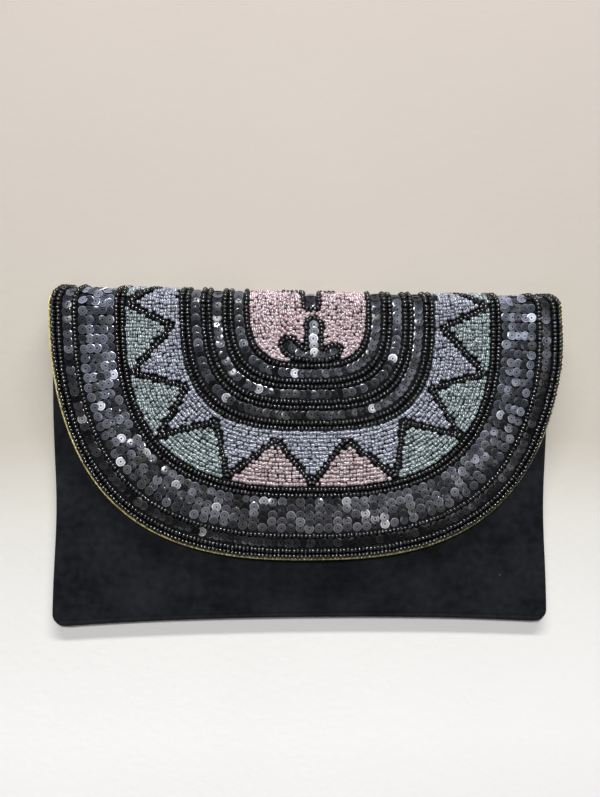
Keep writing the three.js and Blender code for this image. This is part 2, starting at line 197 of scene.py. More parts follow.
def on_flap(flat, height):
    """Bends flat points, a height over the cloth, onto the flap."""
    x, s = leaned(flat), -flat[..., 1]
    angle = np.clip(s / FOLD_RADIUS, -math.pi / 2, math.pi / 2)
    reach = FOLD_RADIUS + height
    bulge = 1 + FOLD_BULGE / FOLD_RADIUS * smooth_step((0.3 - x / RIM) / 1.3)
    fold = np.stack([x, bulge * reach * np.cos(angle), FOLD_RADIUS + reach * np.sin(angle)], -1)
    fold[..., 1] += np.minimum(0, s + FOLD_QUARTER)
    y = np.minimum(0, FOLD_QUARTER - s)
    step = 0.5
    slope_x = (flap_height(x + step, y) - flap_height(x - step, y)) / (2 * step)
    slope_y = (flap_height(x, y) - flap_height(x, y - step)) / step
    normal = unit(np.stack([-slope_x, -slope_y, np.ones_like(x)], -1))
    front = np.stack([x, y, flap_height(x, y)], -1) + normal * np.reshape(height, (-1, 1))
    return np.where((s < FOLD_QUARTER)[..., None], fold, front)


def unit(vectors):
    return vectors / np.linalg.norm(vectors, axis=-1, keepdims=True)


def ring_power(radius):
    return 3.2 - 0.55 * (radius / RIM) ** 1.5


def ring_points(radius, degrees):
    power = ring_power(radius)
    cosine, sine = np.cos(np.radians(degrees)), np.sin(np.radians(degrees))
    reach = radius * (np.abs(cosine) ** power + np.abs(sine) ** power) ** (-1 / power)
    return np.stack([reach * cosine, -FOLD_QUARTER - reach * sine * DROP_SHARE], -1)


def in_ring(points, radius):
    """Up to 1 for a flat point inside the ring with this half width, and more outside it."""
    power = ring_power(radius)
    down = np.maximum(0, -FOLD_QUARTER - points[:, 1]) / DROP_SHARE
    return (np.abs(points[:, 0]) / radius) ** power + (down / radius) ** power


def fold_half(radius, flat_y):
    """Half width of a ring where it crosses the fold, drawn in on its way to the back."""
    past = np.minimum(2, (FOLD_QUARTER + flat_y) / FOLD_QUARTER)
    return radius - FOLD_NARROWING * (radius / RIM) ** 2 * (1 - np.cos(past * math.pi / 2)) * 0.5


def ring_path(radius, end=BEADING_END):
    """A ring from its left end behind the fold, round the bottom, to its right end."""
    arc = ring_points(radius, np.linspace(180, 0, 361))
    y = np.linspace(end, -FOLD_QUARTER, 24, endpoint=False)
    fold = np.stack([fold_half(radius, y), y], -1)
    return np.concatenate([fold * [-1, 1], arc, fold[::-1]])


def spaced(path, pitch, shift=0.5, trim=0.0):
    """Points at an even pitch along a path on the bent flap, and the path's flat direction at each."""
    legs = [
        np.linspace(a, b, max(2, math.ceil(math.dist(a, b))), endpoint=False)
        for a, b in zip(path[:-1], path[1:])
    ]
    path = np.concatenate([*legs, path[-1:]])
    bent = on_flap(path, np.full(len(path), BEAD_CENTRE))
    run = np.concatenate([[0], np.cumsum(np.linalg.norm(np.diff(bent, axis=0), axis=1))])
    length = run[-1] - 2 * trim
    count = max(1, round(length / pitch))
    at = trim + (np.arange(count) + shift) * length / count
    point = np.stack([np.interp(at, run, path[:, i]) for i in (0, 1)], -1)
    ahead = np.stack([np.interp(at + 0.3, run, path[:, i]) for i in (0, 1)], -1)
    behind = np.stack([np.interp(at - 0.3, run, path[:, i]) for i in (0, 1)], -1)
    return point, unit(ahead - behind)


def axes_on_flap(flat, along, height):
    """Place and axes of things that lie on the flap: along, across and out of the cloth."""
    step = 0.25
    across = np.stack([-along[:, 1], along[:, 0]], -1)
    place = on_flap(flat, height)
    first = unit(on_flap(flat + along * step, height) - on_flap(flat - along * step, height))
    other = on_flap(flat + across * step, height) - on_flap(flat - across * step, height)
    out = unit(np.cross(first, other))
    return place, np.stack([first, np.cross(out, first), out], -1)


def turned(axes, yaw, pitch, roll):
    """Axes turned by small angles about the cloth's normal, the across axis and the along axis."""
    first, second, out = axes[..., 0], axes[..., 1], axes[..., 2]
    yaw, pitch, roll = (np.reshape(a, (-1, 1)) for a in (yaw, pitch, roll))
    first = unit(first + yaw * second + pitch * out)
    out = out + roll * second
    second = unit(np.cross(out, first))
    return np.stack([first, second, np.cross(first, second)], -1)


# Meshes


def new_mesh(name, points, faces, uv, sharp=None):
    """A mesh object from points in mm and quads. uv has a pair for each corner of each face."""
    mesh = bpy.data.meshes.new(name)
    points = (points + [FLAP_X, FOLD_Y, 0]) / 1000
    mesh.vertices.add(len(points))
    mesh.vertices.foreach_set("co", points.astype(np.float32).ravel())
    mesh.loops.add(faces.size)
    mesh.loops.foreach_set("vertex_index", faces.astype(np.int32).ravel())
    mesh.polygons.add(len(faces))
    mesh.polygons.foreach_set("loop_start", np.arange(0, faces.size, faces.shape[1], dtype=np.int32))
    mesh.polygons.foreach_set("use_smooth", np.ones(len(faces), dtype=bool))
    layer = mesh.uv_layers.new(name="UVMap")
    layer.data.foreach_set("uv", uv.astype(np.float32).ravel())
    mesh.update(calc_edges=True)
    mesh.validate()
    if sharp:
        mesh.set_sharp_from_angle(angle=math.radians(sharp))
    made = bpy.data.objects.new(name, mesh)
    bpy.context.scene.collection.objects.link(made)
    return made


def revolved(profile, sides, axis):
    """A ring-shaped body round x or z from a closed profile of (radius, along) pairs."""
    profile = np.array(profile, float)
    turn = np.arange(sides) * 2 * math.pi / sides
    radius, along = profile[:, 0], np.tile(profile[:, 1], (sides, 1))
    c, s = np.outer(np.cos(turn), radius), np.outer(np.sin(turn), radius)
    points = np.stack([along, c, s] if axis == "x" else [c, s, along], -1).reshape(-1, 3)
    rows = len(profile)
    i, j = np.meshgrid(np.arange(sides), np.arange(rows), indexing="ij")
    i, j = i.ravel(), j.ravel()
    i2, j2 = (i + 1) % sides, (j + 1) % rows
    faces = np.stack([i * rows + j, i2 * rows + j, i2 * rows + j2, i * rows + j2], -1)
    u = np.stack([i, i + 1, i + 1, i], -1) / sides
    share = profile[:, 0] / profile[:, 0].max()
    uv = np.stack([u, np.stack([share[j], share[j], share[j2], share[j2]], -1)], -1)
    p = points[faces]
    volume = np.einsum("ij,ij->", p[:, 0], np.cross(p[:, 1], p[:, 2]))
    volume += np.einsum("ij,ij->", p[:, 0], np.cross(p[:, 2], p[:, 3]))
    if volume < 0:
        faces, uv = faces[:, ::-1], uv[:, ::-1]
    return points, faces, uv


def copies(name, shape, place, axes, scale, material, slot, nodes, sharp=None):
    """Joined copies of a shape as one piece, which stands for CAD nodes."""
    points, faces, uv = shape
    count = len(place)
    moved = np.einsum("nij,pj->npi", axes, points) * np.reshape(scale, (-1, 1, 1)) + place[:, None]
    offset = np.arange(count)[:, None, None] * len(points)
    all_faces = (faces[None] + offset).reshape(-1, faces.shape[1])
    piece = new_mesh(name, moved.reshape(-1, 3), all_faces, np.tile(uv, (count, 1, 1)), sharp)
    return finished(piece, material, nodes)


def finished(piece, material, nodes):
    piece.data.materials.append(material)
    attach(piece, "root")
    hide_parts(*nodes)
    return piece


def cloth(name, top, bottom, flat, material, nodes):
    """A closed sheet between two grids of points, with its flat place in centimetres as uv."""
    rows, columns = top.shape[:2]
    layer = rows * columns
    points = np.concatenate([top.reshape(-1, 3), bottom.reshape(-1, 3)])
    index = np.arange(layer).reshape(rows, columns)
    a, b, c, d = index[:-1, :-1], index[1:, :-1], index[1:, 1:], index[:-1, 1:]
    upper = np.stack([a, b, c, d], -1).reshape(-1, 4)
    border = np.concatenate([index[:-1, 0], index[-1, :-1], index[:0:-1, -1], index[0, :0:-1]])
    following = np.roll(border, -1)
    side = np.stack([border, border + layer, following + layer, following], -1)
    faces = np.concatenate([upper, upper[:, ::-1] + layer, side])
    uv = np.concatenate([flat.reshape(-1, 2)] * 2)[faces] / 10
    return finished(new_mesh(name, points, faces, uv, 60), material, nodes)


# Materials


def scaled(color, share):
    return tuple(share * c for c in color)


def tinted(color, shares):
    return tuple(c * share for c, share in zip(color, shares))


class Shades:
    """Builds one material's nodes."""

    def __init__(self, name):
        self.material = bpy.data.materials.new(name)
        self.material.use_nodes = True
        self.nodes = self.material.node_tree.nodes
        self.links = self.material.node_tree.links
        self.shader = self.nodes["Principled BSDF"]

    def node(self, kind, **settings):
        made = self.nodes.new(kind)
        for key, value in settings.items():
            setattr(made, key, value)
        return made

    def link(self, source, target):
        self.links.new(source, target)

    def ramp(self, source, stops, interpolation="LINEAR"):
        made = self.node("ShaderNodeValToRGB")
        made.color_ramp.interpolation = interpolation
        elements = made.color_ramp.elements
        while len(elements) < len(stops):
            elements.new(0.5)
        for element, (position, color) in zip(elements, stops):
            element.position = position
            element.color = (*color, 1)
        self.link(source, made.inputs["Fac"])
        return made.outputs["Color"]

    def ranged(self, source, low, high, start=0.0, stop=1.0):
        made = self.node("ShaderNodeMapRange")
        made.inputs["From Min"].default_value = start
        made.inputs["From Max"].default_value = stop
        made.inputs["To Min"].default_value = low
        made.inputs["To Max"].default_value = high
        self.link(source, made.inputs["Value"])
        return made.outputs["Result"]

    def math(self, operation, first, second=None):
        made = self.node("ShaderNodeMath", operation=operation)
        for socket, value in zip(made.inputs, (first, second)):
            if isinstance(value, (int, float)):
                socket.default_value = value
            elif value is not None:
                self.link(value, socket)
        return made.outputs["Value"]

    def mixed(self, share, first, second, blend="MIX"):
        made = self.node("ShaderNodeMix", data_type="RGBA", blend_type=blend)
        for socket, value in ((made.inputs[0], share), (made.inputs[6], first), (made.inputs[7], second)):
            if isinstance(value, (int, float)):
                socket.default_value = value
            elif isinstance(value, tuple):
                socket.default_value = (*value, 1)
            else:
                self.link(value, socket)
        return made.outputs[2]

    def noise(self, scale, detail=3.0, vector=None):
        made = self.node("ShaderNodeTexNoise")
        made.inputs["Scale"].default_value = scale
        made.inputs["Detail"].default_value = detail
        if vector:
            self.link(vector, made.inputs["Vector"])
        return made.outputs["Fac"]

    def bump(self, height, strength, distance):
        made = self.node("ShaderNodeBump")
        made.inputs["Strength"].default_value = strength
        made.inputs["Distance"].default_value = distance
        self.link(height, made.inputs["Height"])
        self.link(made.outputs["Normal"], self.shader.inputs["Normal"])

    def put(self, **values):
        for name, value in values.items():
            socket = self.shader.inputs[name.replace("_", " ")]
            if isinstance(value, (int, float)):
                socket.default_value = value
            elif isinstance(value, tuple):
                socket.default_value = (*value, 1)
            else:
                self.link(value, socket)

    def island(self):
        return self.node("ShaderNodeNewGeometry").outputs["Random Per Island"]

    def uv(self):
        return self.node("ShaderNodeUVMap", uv_map="UVMap").outputs["UV"]

    def place(self):
        return self.node("ShaderNodeTexCoord").outputs["Object"]

    def parts(self, vector):
        made = self.node("ShaderNodeSeparateXYZ")
        self.link(vector, made.inputs[0])
        return made.outputs


def cloth_material(name):
    """Black cloth: a plain weave, faint mottling and a few specks of lint."""
    s = Shades(name)
    uv = s.uv()
    parts = s.parts(uv)
    threads_per_cm = 18
    u = s.math("MULTIPLY", parts["X"], threads_per_cm * math.pi)
    v = s.math("MULTIPLY", parts["Y"], threads_per_cm * math.pi)
    warp = s.math("ABSOLUTE", s.math("SINE", u))
    weft = s.math("ABSOLUTE", s.math("SINE", v))
    over = s.math("GREATER_THAN", s.math("MULTIPLY", s.math("SINE", u), s.math("SINE", v)), 0)
    weave = s.node("ShaderNodeMix", data_type="FLOAT")
    s.link(over, weave.inputs[0])
    s.link(warp, weave.inputs[2])
    s.link(weft, weave.inputs[3])
    weave = weave.outputs[0]
    mottle = s.mixed(0.45, s.noise(0.35, 3, uv), s.noise(2.2, 7, uv))
    color = s.ramp(mottle, [(0.36, (0.0009, 0.0015, 0.0026)), (0.64, (0.0107, 0.0126, 0.0158))])
    color = s.mixed(s.ranged(weave, 0.6, 0), color, (0.002, 0.002, 0.003))
    lint = s.node("ShaderNodeTexVoronoi", feature="F1")
    lint.inputs["Scale"].default_value = 1.3
    s.link(uv, lint.inputs["Vector"])
    near = s.math("LESS_THAN", lint.outputs["Distance"], 0.036)
    picked = s.node("ShaderNodeSeparateColor")
    s.link(lint.outputs["Color"], picked.inputs[0])
    speck = s.math("MULTIPLY", near, s.math("GREATER_THAN", picked.outputs[0], 0.84))
    color = s.mixed(s.math("MULTIPLY", speck, 0.5), color, (0.25, 0.25, 0.24))
    s.put(Base_Color=color, Roughness=0.85, Sheen_Weight=0.03, Sheen_Roughness=0.5)
    s.shader.inputs["Specular IOR Level"].default_value = 0.14
    s.bump(weave, 0.35, 0.0001)
    return s.material


def black_bead_material():
    """Glossy black glass, each bead a little different."""
    s = Shades("black_glass_bead")
    island = s.island()
    color = s.ramp(island, [(0.0, (0.001, 0.001, 0.001)), (1.0, (0.003, 0.003, 0.004))])
    s.put(Base_Color=color, Roughness=s.ranged(island, 0.12, 0.24), IOR=1.95)
    return s.material


def lined_bead_material(name, glass, bright, stray, hole_shade_share=0.1):
    """Pastel glass with a silver lining. The bright streaks along each bead are a painted reflection of
    the lining, with darker glass between, and the bead's ends and hole are darkened as painted shade. A
    few beads are of a stray deeper color."""
    s = Shades(name)
    island = s.island()
    parts = s.parts(s.uv())
    streaks = 6
    # Painted reflection: bright streaks of the silver lining at fixed turns round each bead.
    wave = s.math("COSINE", s.math("MULTIPLY", parts["X"], streaks * 2 * math.pi))
    streak = s.ranged(wave, 0, 1, -0.3, 0.8)
    varied = s.mixed(s.ranged(island, 0, 0.8), glass, scaled(glass, 0.4))
    second = s.math("FRACT", s.math("MULTIPLY", island, 23.7))
    lit = s.mixed(s.ranged(second, 0, 0.75), bright, glass)
    color = s.mixed(streak, varied, lit)
    # Painted shade: the bead's ends and hole are darker.
    hole = s.ranged(parts["Y"], 0.06, 1, 0.36, 0.7)
    color = s.mixed(hole, scaled(glass, hole_shade_share), color)
    third = s.math("FRACT", s.math("MULTIPLY", island, 61.3))
    color = s.mixed(s.ranged(third, 0, 0.6, 0.94, 0.97), color, stray)
    s.put(Base_Color=color, Roughness=s.ranged(second, 0.12, 0.3), IOR=1.5)
    return s.material


def sequin_material(name, dark, light, glint_share, low=1.0, high=1.0, start=0.0):
    """Smoky pressed sequins, with painted light and shade on their pressed rings from the hole
    outwards, and now and then one painted bright all over as a glint. Their tone goes from low and a
    little warmer, at start, to high next to the fold, a painted reflection. Both places are y in metres."""
    s = Shades(name)
    island = s.island()
    by_fold = 0.09
    # Painted glint: the tone ramp's last step is this pale colour, a sequin painted as if it mirrored the
    # lamp.
    silver = (0.57, 0.6, 0.7)
    middle = scaled(light, 0.42)
    brightest = scaled(light, 1.2)
    stops = [(0, dark), (0.45, middle), (0.85, brightest), (1 - glint_share, brightest)]
    tone = s.ramp(island, [*stops, (1 - glint_share + 0.01, silver)])
    second = s.math("FRACT", s.math("MULTIPLY", island, 17.3))
    brown = tinted(light, (0.62, 0.58, 0.44))
    tone = s.mixed(s.ranged(second, 0, 0.4, 0.6, 1), tone, brown)
    # Painted light and shade on the pressed rings: darker by the hole and in the groove, lighter on the inner
    # ridge, and a painted highlight on the rim.
    painted_ring_light = ((0.17, 0.4), (0.38, 1.2), (0.55, 0.6), (0.86, 0.85), (0.98, 2.2))
    rings = s.ramp(s.parts(s.uv())["Y"], [(at, (share,) * 3) for at, share in painted_ring_light])
    color = s.mixed(1.0, tone, rings, "MULTIPLY")
    # Painted reflection: darker and a little warmer low on the flap, lighter next to the fold.
    warm = scaled((1.08, 1.0, 0.86), low)
    painted_reflection = s.mixed(s.ranged(s.parts(s.place())["Y"], 0, 1, start, by_fold), warm, (high,) * 3)
    color = s.mixed(1.0, color, painted_reflection, "MULTIPLY")
    s.put(Base_Color=color, Metallic=0.35, Roughness=s.ranged(second, 0.12, 0.34), Alpha=0.84)
    return s.material


def gold_material():
    """Metallic thread, brighter and darker in small random patches along it."""
    s = Shades("gold_thread")
    tone = s.noise(900, 2, s.place())
    color = s.ramp(tone, [(0.35, (0.45, 0.36, 0.12)), (0.65, (0.95, 0.86, 0.42))])
    s.put(Base_Color=color, Metallic=0.25, Roughness=s.ranged(tone, 0.25, 0.5))
    return s.material


def snap_material():
    """Brushed metal of the hidden magnet."""
    s = Shades("snap_metal")
    scratches = s.noise(1500, 4, s.place())
    color = s.ramp(scratches, [(0.3, (0.25, 0.25, 0.26)), (0.7, (0.4, 0.4, 0.42))])
    s.put(Base_Color=color, Metallic=0.95, Roughness=s.ranged(scratches, 0.3, 0.45))
    return s.material


def floor_material():
    """A pale floor, warm beige in the distance and nearly white in front. The darker far part is partly
    the backdrop's own beige and partly painted shade.
    """
    s = Shades("pale_floor")
    place = s.place()
    # Painted shade, in part: the floor gets darker and more beige towards the far end.
    depth = s.ranged(s.parts(place)["Y"], 0, 1, -0.2, 0.3)
    stops = [(0.08, (0.61, 0.6, 0.59)), (0.24, (0.52, 0.51, 0.495)), (0.33, (0.45, 0.437, 0.405))]
    stops.extend([(0.42, (0.335, 0.31, 0.27)), (0.9, (0.3, 0.268, 0.245))])
    color = s.ramp(depth, stops)
    shade = s.ranged(s.noise(9, 5, place), 0.97, 1.03)
    color = s.mixed(1.0, color, shade, "MULTIPLY")
    s.put(Base_Color=color, Roughness=0.8)
    s.bump(s.noise(220, 4, place), 0.12, 0.0008)
    return s.material


FABRIC = cloth_material("black_cloth")
BLACK = black_bead_material()
MINT = lined_bead_material(
    "mint_lined_bead", glass=(0.08, 0.1, 0.1), bright=(0.42, 0.48, 0.5), stray=(0.03, 0.05, 0.05)
)
LAVENDER = lined_bead_material(
    "lavender_lined_bead", glass=(0.1, 0.105, 0.128), bright=(0.43, 0.45, 0.53), stray=(0.05, 0.055, 0.08)
)
PINK = lined_bead_material(
    "pink_lined_bead", glass=(0.2, 0.15, 0.157), bright=(0.49, 0.425, 0.44), stray=(0.16, 0.08, 0.09)
)
SMOKE = sequin_material(
    "smoky_sequin",
    dark=(0.014, 0.015, 0.019),
    light=(0.118, 0.127, 0.163),
    glint_share=0.04,
    low=1.0,
    high=1.45,
    start=-0.05,
)
ROSE = lined_bead_material(
    "rose_lined_bead",
    glass=(0.22, 0.155, 0.168),
    bright=(0.62, 0.54, 0.57),
    stray=(0.24, 0.08, 0.11),
    hole_shade_share=0.45,
)
DARK_SMOKE = sequin_material(
    "dark_smoky_sequin",
    dark=(0.008, 0.008, 0.01),
    light=(0.05, 0.053, 0.067),
    glint_share=0.012,
    low=0.55,
    high=1.75,
    start=0.015,
)
BRIGHT = sequin_material(
    "bright_sequin", dark=(0.16, 0.19, 0.28), light=(0.7, 0.72, 0.82), glint_share=0.3
)
GOLD = gold_material()


# Camera and light

CAMERA_DISTANCE = 348.5
CAMERA_YAW = math.radians(2.4)
CAMERA_ROLL = math.radians(0.2)
CAMERA_TARGET = (-5.4, 31.8, 14.0)
CAMERA_LENS = 29.0


def add_camera():
    data = bpy.data.cameras.new("camera")
    data.lens = CAMERA_LENS
    data.sensor_width = 36
    camera = bpy.data.objects.new("camera", data)
    reach = CAMERA_DISTANCE / 1000
    x, y, z = (v / 1000 for v in CAMERA_TARGET)
    camera.location = (x - reach * math.sin(CAMERA_YAW), y, z + reach * math.cos(CAMERA_YAW))
    camera.rotation_euler = (0, -CAMERA_YAW, CAMERA_ROLL)
    bpy.context.scene.collection.objects.link(camera)
    bpy.context.scene.camera = camera


def add_light(name, place, size, power, color, depth=None):
    """A round light that points at the clutch. One with a depth too is long, and glass doesn't mirror it."""
    data = bpy.data.lights.new(name, "AREA")
    data.shape = "RECTANGLE" if depth else "DISK"
    data.size = size
    if depth:
        data.size_y = depth
    data.energy = power
    data.color = color
    light = bpy.data.objects.new(name, data)
    light.visible_glossy = not depth
    light.location = place
    x, y, z = place
    light.rotation_euler = (math.atan2(math.hypot(x, y), z), 0, math.atan2(x, -y))
    bpy.context.scene.collection.objects.link(light)


def add_stage():
    world = bpy.data.worlds.new("studio")
    world.use_nodes = True
    world.node_tree.nodes["Background"].inputs["Color"].default_value = (1, 0.99, 0.97, 1)
    world.node_tree.nodes["Background"].inputs["Strength"].default_value = 0.06
    bpy.context.scene.world = world
    bpy.context.scene.view_settings.view_transform = "Standard"
    bpy.ops.mesh.primitive_plane_add(size=6, location=(0, 0, -0.0002))
    floor = bpy.context.object
    floor.name = "floor"
    floor.data.materials.append(floor_material())
    white, cool = (1, 1, 1), (0.95, 0.97, 1)
    add_light("key", (-0.2, 0.75, 1.35), size=0.28, power=24, color=white)
    add_light("high", (0.1, 1.5, 0.6), size=1.6, power=60, color=white, depth=0.1)
    add_light("fill", (0.45, 0.1, 0.9), size=0.45, power=1.6, color=cool)
    add_light("low_fill", (-0.5, -0.6, 0.8), size=0.4, power=1.0, color=cool)


# Cloth pieces


def edge_spaced(inner_count, edge_steps, half):
    """Shares from -1 to 1 across a piece, in small steps of mm next to both edges."""
    edge = 1 - np.array(edge_steps) / half
    inside = np.linspace(0, edge[-1], inner_count)[:-1]
    right = np.concatenate([inside, edge[::-1]])
    return np.concatenate([-right[:0:-1], right])


EDGE_STEPS = (0, 0.25, 0.6, 1.0, 1.5, 2.0, 2.4, 2.8, 3.4, 4.4, 6.0, 9.0)


def pouch_grid(top):
    """Flat grid of a pouch panel, from the top to the bottom seam, with round bottom corners."""
    across = edge_spaced(36, EDGE_STEPS, BODY_WIDTH / 2)
    low = bottom_edge(across)
    lines = []
    for above in EDGE_STEPS:
        if above < CORNER_RADIUS:
            lines.append((low + above, 1 - above / CORNER_RADIUS))
    for share in np.linspace(0, 1, 48):
        lines.append((low + CORNER_RADIUS + share * (top - low - CORNER_RADIUS), 0))
    grid = []
    for y, share in reversed(lines):
        inset = CORNER_RADIUS * (1 - math.sqrt(1 - share**2))
        grid.append(np.stack([BODY_SHIFT + (side_half(y) - inset) * across, y], -1))
    return np.array(grid)


def seam_relief(x, y):
    """Height change next to the seams: a rounded edge, the stitched groove and small puckers."""
    across, above = in_pouch(x, y)
    from_edge = np.minimum((1 - across) * side_half(y), above)
    rounded = EDGE_ROUNDING * (1 - np.sqrt(1 - np.clip(1 - from_edge, 0, 1) ** 2))
    groove = STITCH_DEPTH * np.exp(-(((from_edge - STITCH_INSET) / STITCH_WIDTH) ** 2))
    run = np.where(above < (1 - across) * side_half(y), x, y)
    pucker = PUCKER_DEPTH * np.sin(run * 0.9 + 2 * np.sin(run * 0.13))
    pucker = pucker * np.exp(-(((from_edge - PUCKER_INSET) / PUCKER_WIDTH) ** 2))
    return -rounded - groove + pucker


def slack(x, y):
    """Soft unevenness of the cloth where nothing holds it."""
    across, above = in_pouch(x, y)
    free = smooth_step(np.minimum((1 - across) * side_half(y), above) / SLACK_RUN)
    waves = np.sin(x * 0.071 + 1.3) * np.sin(y * 0.093 + 0.4) + 0.6 * np.sin(x * 0.16 - y * 0.11 + 2.0)
    return SLACK_DEPTH * free * waves


def add_pouch():
    grid = pouch_grid(-MOUTH_DEPTH)
    x, y = grid[..., 0], grid[..., 1]
    height = front_height(x, y)
    top = np.stack([x, y, height + seam_relief(x, y) + slack(x, y)], -1)
    closed = SEAM_CLOSING * (1 - smooth_step(height - SEAM_HEIGHT))
    bottom = np.stack([x, y, height - CLOTH_WALL - closed], -1)
    cloth("pouch_front", top, bottom, grid, FABRIC, ["front_panel"])
    grid = pouch_grid(-BACK_RUN - SEAM_GAP)
    x, y = grid[..., 0], grid[..., 1]
    height = back_height(x, y)
    outer = np.stack([x, y, height - 0.6 * seam_relief(x, y) * (height > 0.05)], -1)
    inner = np.stack([x, y, height + CLOTH_WALL], -1)
    cloth("pouch_back", inner, outer, grid, FABRIC, ["back_panel"])


def add_flap():
    across = edge_spaced(40, (0, 0.3, 0.8, 1.6, 3.0), CLOTH_RIM)
    power = ring_power(CLOTH_RIM)
    lines = []
    for y in np.linspace(FOLD_QUARTER + BACK_RUN, -FOLD_QUARTER, 22, endpoint=False):
        lines.append(np.stack([across * fold_half(CLOTH_RIM, y), np.full_like(across, y)], -1))
    # Below the fold each line starts on the ring's side, and the last one is its lower edge.
    last_angle = 360 / 7
    for t in np.linspace(0, 1, 46):
        side_x, side_y = ring_points(CLOTH_RIM, last_angle * t)
        x = across * side_x
        edge = DROP_SHARE * CLOTH_RIM * (1 - np.abs(x / CLOTH_RIM) ** power) ** (1 / power)
        lines.append(np.stack([x, side_y + (-FOLD_QUARTER - edge - side_y) * t**2], -1))
    grid = np.array(lines)
    flat = grid.reshape(-1, 2)
    top = on_flap(flat, np.zeros(len(flat))).reshape(*grid.shape[:2], 3)
    bottom = on_flap(flat, np.full(len(flat), -FLAP_WALL)).reshape(*grid.shape[:2], 3)
    cloth("flap_cloth", top, bottom, grid, FABRIC, ["flap"])


def add_edging():
    """Thread wound round the flap's edge, over a core."""
    pitch, steps, sides = 0.66, 8, 5
    thread, half_width, half_height = 0.28, 0.5, 1.05
    path = ring_path(RIM - 0.3 * EDGING_WIDTH)
    flat, along = spaced(path, pitch / steps)
    # On the right the edging has slipped under the outer row of beads.
    middle = -EDGING_SINK - EDGING_SLIP * smooth_step((flat[:, 0] / RIM - 0.35) / 0.5)
    place, axes = axes_on_flap(flat, along, middle)
    turn = np.arange(len(flat)) * 2 * math.pi / steps
    centre = place + axes[..., 1] * (half_width * np.cos(turn))[:, None]
    centre = centre + axes[..., 2] * (half_height * np.sin(turn))[:, None]
    forward = unit(np.gradient(centre, axis=0))
    outward = unit(centre - place)
    outward = unit(outward - forward * np.sum(outward * forward, -1, keepdims=True))
    tube("edging_thread", centre, outward, np.cross(forward, outward), thread, sides, GOLD, ["gold_edging"])


def tube(name, centre, first, second, radius, sides, material, nodes):
    """A thread along a line of points, drawn in to a tip at both ends."""
    angle = np.arange(sides) * 2 * math.pi / sides
    thick = np.full(len(centre), radius)
    thick[[0, -1]] = radius / 50
    points = centre[:, None] + thick[:, None, None] * (
        first[:, None] * np.cos(angle)[None, :, None] + second[:, None] * np.sin(angle)[None, :, None]
    )
    i, j = np.meshgrid(np.arange(len(centre) - 1), np.arange(sides), indexing="ij")
    i, j = i.ravel(), j.ravel()
    j2 = (j + 1) % sides
    faces = np.stack([i * sides + j, i * sides + j2, (i + 1) * sides + j2, (i + 1) * sides + j], -1)
    uv = np.stack([np.stack([i, i, i + 1, i + 1], -1) / 10, np.stack([j, j + 1, j + 1, j], -1) / sides], -1)
    piece = new_mesh(name, points.reshape(-1, 3), faces, uv)
    return finished(piece, material, nodes)


# Beads and sequins. Their outlines are pairs of radius and place along the axis.

BEAD = revolved(
    [(0.95, -0.93), (1.34, -0.7), (1.48, 0), (1.34, 0.7), (0.95, 0.93), (0.42, 0.85), (0.42, -0.85)], 10, "x"
)
LINED_BEAD = revolved(
    [(0.85, -0.93), (1.13, -0.72), (1.22, 0), (1.13, 0.72), (0.85, 0.93), (0.4, 0.85), (0.4, -0.85)], 8, "x"
)
SEQUIN = revolved(
    [(0.38, 0.02), (1.0, 0.1), (1.35, 0.03), (2.1, 0.1), (2.5, -0.02), (2.42, -0.12), (0.38, -0.1)], 18, "z"
)


def bead_places(flat, along, yaw=0.06, spread=0.1, roll=3.0):
    """Places and axes of beads on the flap, with the small unevenness of handwork."""
    count = len(flat)
    flat = flat + rng.normal(0, spread, (count, 2))
    height = BEAD_CENTRE + rng.normal(0, 0.08, count)
    place, axes = axes_on_flap(flat, along, height)
    nod = rng.normal(0, 0.06, count)
    axes = turned(axes, rng.normal(0, yaw, count), nod, rng.uniform(-roll, roll, count))
    return place, axes, rng.normal(1, 0.03, count)


def lined_places(flat, along, askew=0.28, spread=0.22):
    """Places and axes of the pastel beads, which lie less evenly; a few stand on end."""
    count = len(flat)
    turn = rng.normal(0, 0.22, count)
    turn = np.where(rng.uniform(size=count) < askew, rng.uniform(-1.5, 1.5, count), turn)
    c, s = np.cos(turn)[:, None], np.sin(turn)[:, None]
    along = along * c + np.stack([-along[:, 1], along[:, 0]], -1) * s
    flat = flat + rng.normal(0, spread, (count, 2))
    place, axes = axes_on_flap(flat, along, LINED_CENTRE + rng.normal(0, 0.16, count))
    on_end = rng.uniform(size=count) < 0.07
    nod = np.where(on_end, rng.uniform(0.8, 2.5, count), rng.normal(0, 0.12, count))
    axes = turned(axes, np.zeros(count), nod, rng.uniform(-0.5, 0.5, count))
    return place, axes, rng.normal(1, 0.07, count)


def joined_rows(paths):
    """Flat places and directions of the black beads along paths."""
    rows = [spaced(path, BEAD_LENGTH) for path in paths]
    return np.concatenate([row[0] for row in rows]), np.concatenate([row[1] for row in rows])


def bead_rows(name, node, radii):
    """Rows of black beads along the rings with these half widths."""
    flat, along = joined_rows([ring_path(radius) for radius in radii])
    copies(name, BEAD, *bead_places(flat, along), BLACK, "black_beads", [node])


def sequin_strip(name, node, radius, pitch, up, material, to_fold=False):
    """One line of sequins that overlap like scales along a ring. Up is the tilt along it, or along
    its way to the fold."""
    flat, along = spaced(ring_path(radius), pitch, trim=0.8)
    if to_fold:
        along = along * np.where(along[:, 1:] > 0, 1, -1)
    sequins(name, node, flat, along, up, STRIP_CENTRE, 0.05, material)


def sequins(name, node, flat, along, up, centre, sway, material):
    """Sequins that rest on each other: up is their tilt along the line, sway the chance tilt."""
    count = len(flat)
    flat = flat + rng.normal(0, 0.14, (count, 2))
    place, axes = axes_on_flap(flat, along, np.full(count, centre) + rng.normal(0, 0.08, count))
    nod, roll = up + rng.normal(0, sway, count), rng.normal(0, sway, count)
    axes = turned(axes, rng.normal(0, 0.3, count), nod, roll)
    scale = rng.normal(1, 0.015, count)
    copies(name, SEQUIN, place, axes, scale, material, "grey_sequins", [node], sharp=40)


